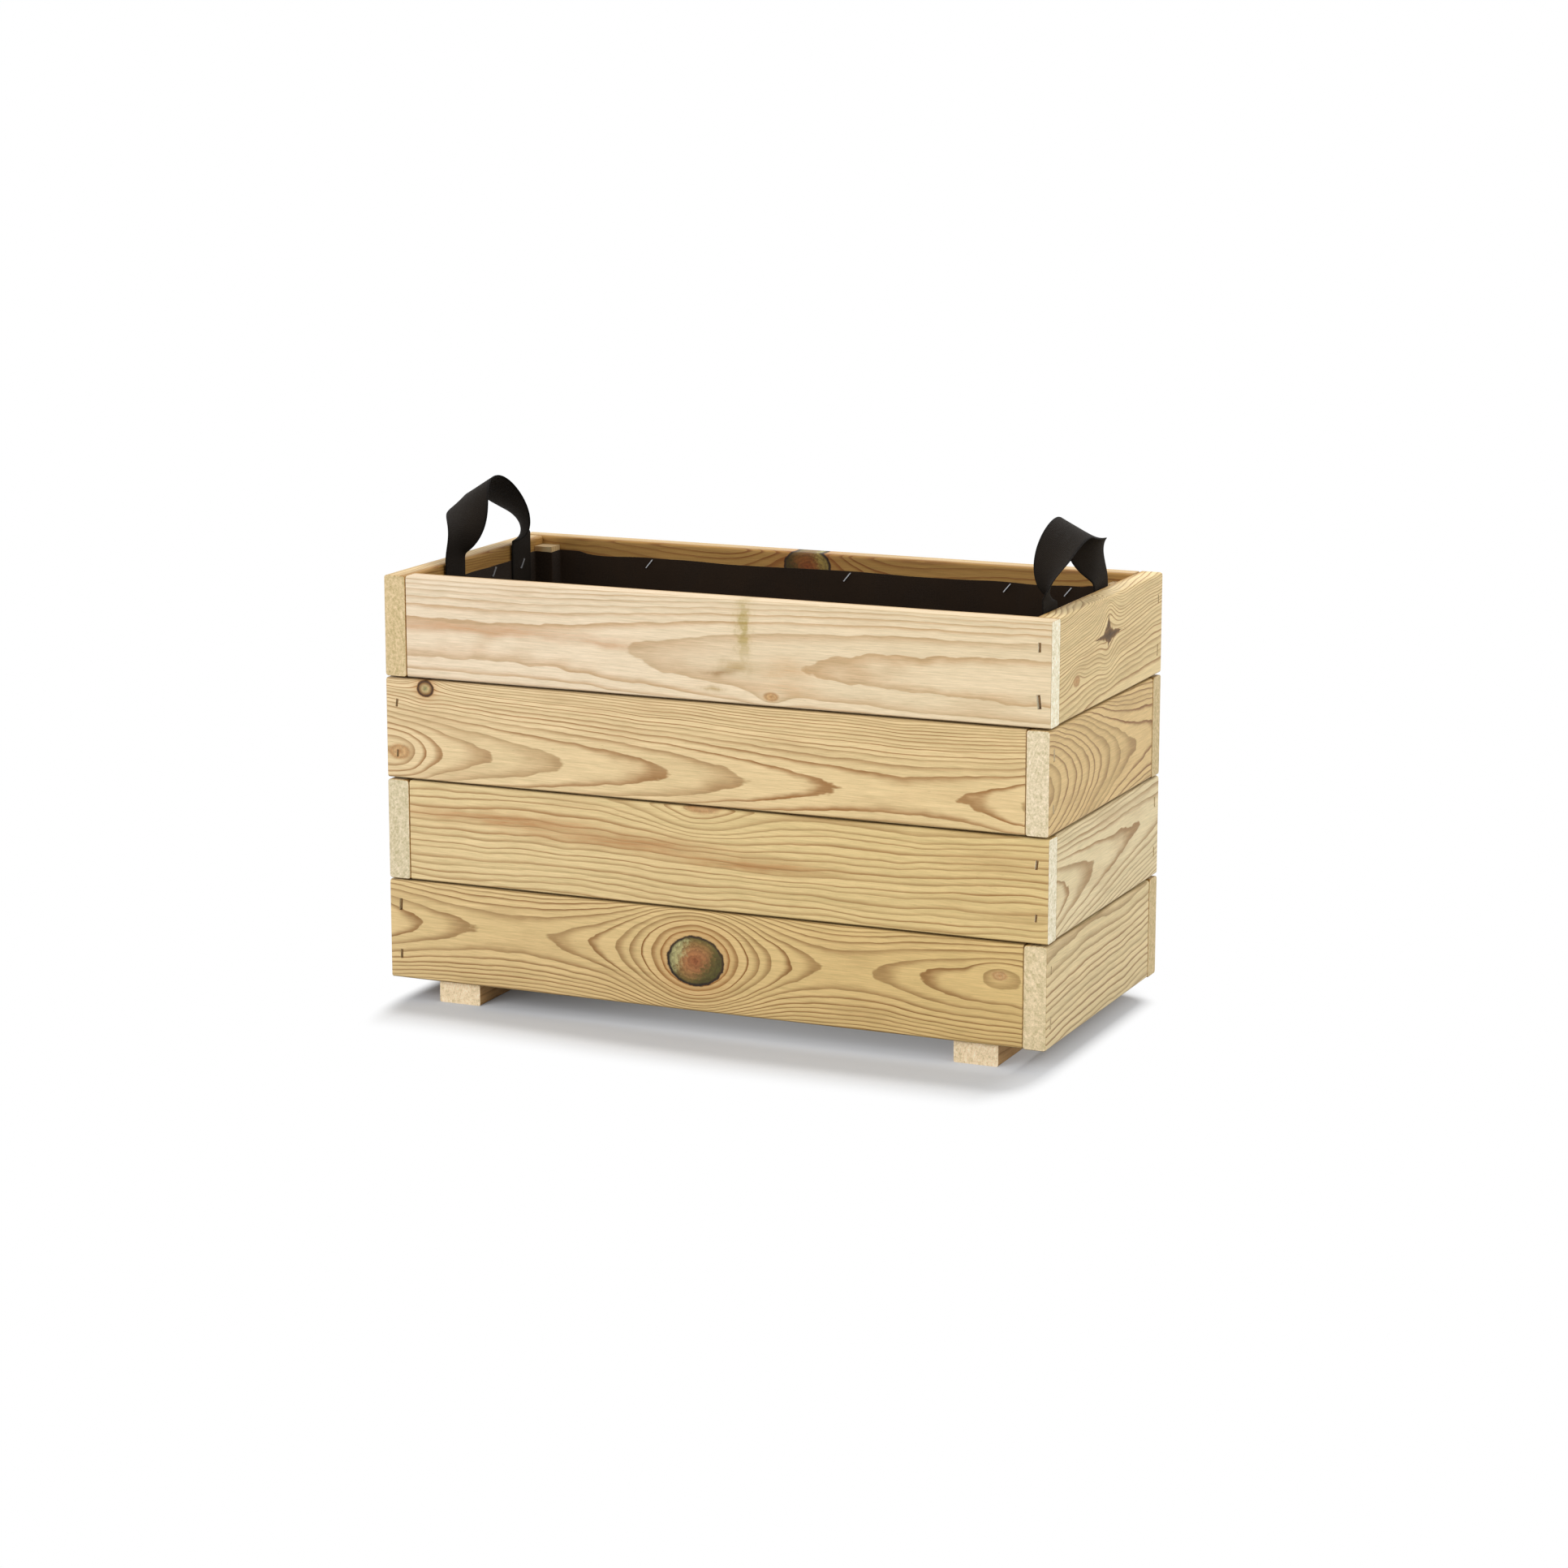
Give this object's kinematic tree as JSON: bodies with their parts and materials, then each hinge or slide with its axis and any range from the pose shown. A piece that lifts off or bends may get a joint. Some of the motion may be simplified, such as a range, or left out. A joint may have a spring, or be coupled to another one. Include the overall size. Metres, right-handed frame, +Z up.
{
  "type": "wooden planter",
  "caption": "Open rectangular planter box of stacked planed boards with lapped corner joints, raised on battens, lined with cloth, with a webbing loop handle at each short end",
  "frame": {"origin": "on the floor, under the middle of the box's footprint", "axes": "+Z up, +X along the box's length with the right-hand end at +X, front face towards -Y"},
  "size_m": [0.65, 0.3, 0.4757],
  "materials": {
    "pine": "satin",
    "inner_pine": "matte",
    "foot_pine": "matte",
    "liner_cloth": "matte",
    "webbing": "matte",
    "staple_steel": "satin"
  },
  "bodies": {
    "box": {"back_board_1": "pine", "back_board_2": "pine", "back_board_3": "pine", "back_board_4": "pine", "corner_post_back_left": "inner_pine", "corner_post_back_right": "inner_pine", "corner_post_front_left": "inner_pine", "corner_post_front_right": "inner_pine", "floor_slat_1": "inner_pine", "floor_slat_2": "inner_pine", "floor_slat_3": "inner_pine", "foot_left": "foot_pine", "foot_right": "foot_pine", "front_board_1": "pine", "front_board_2": "pine", "front_board_3": "pine", "front_board_4": "pine", "handle_left_tail_back": "webbing", "handle_left_tail_front": "webbing", "handle_right_tail_back": "webbing", "handle_right_tail_front": "webbing", "handle_staple_left_back": "staple_steel", "handle_staple_left_front": "staple_steel", "handle_staple_right_back": "staple_steel", "handle_staple_right_front": "staple_steel", "left_board_1": "pine", "left_board_2": "pine", "left_board_3": "pine", "left_board_4": "pine", "liner": "liner_cloth", "liner_staple_back_1": "staple_steel", "liner_staple_back_2": "staple_steel", "liner_staple_back_3": "staple_steel", "liner_staple_back_4": "staple_steel", "liner_staple_front_1": "staple_steel", "liner_staple_front_2": "staple_steel", "liner_staple_front_3": "staple_steel", "liner_staple_front_4": "staple_steel", "liner_staple_left": "staple_steel", "liner_staple_right": "staple_steel", "right_board_1": "pine", "right_board_2": "pine", "right_board_3": "pine", "right_board_4": "pine"},
    "left_loop": {"handle_left": "webbing"},
    "right_loop": {"handle_right": "webbing"}
  },
  "joints": [
    {"name": "handle_left_swing", "type": "hinge", "parent": "box", "child": "left_loop", "pos_m": [-0.3006, 0.01, 0.4028], "axis": [0, 1, 0], "range_deg": [-50, 110]},
    {"name": "handle_right_swing", "type": "hinge", "parent": "box", "child": "right_loop", "pos_m": [0.3006, -0.021, 0.4028], "axis": [0, -1, 0], "range_deg": [-50, 110]}
  ]
}
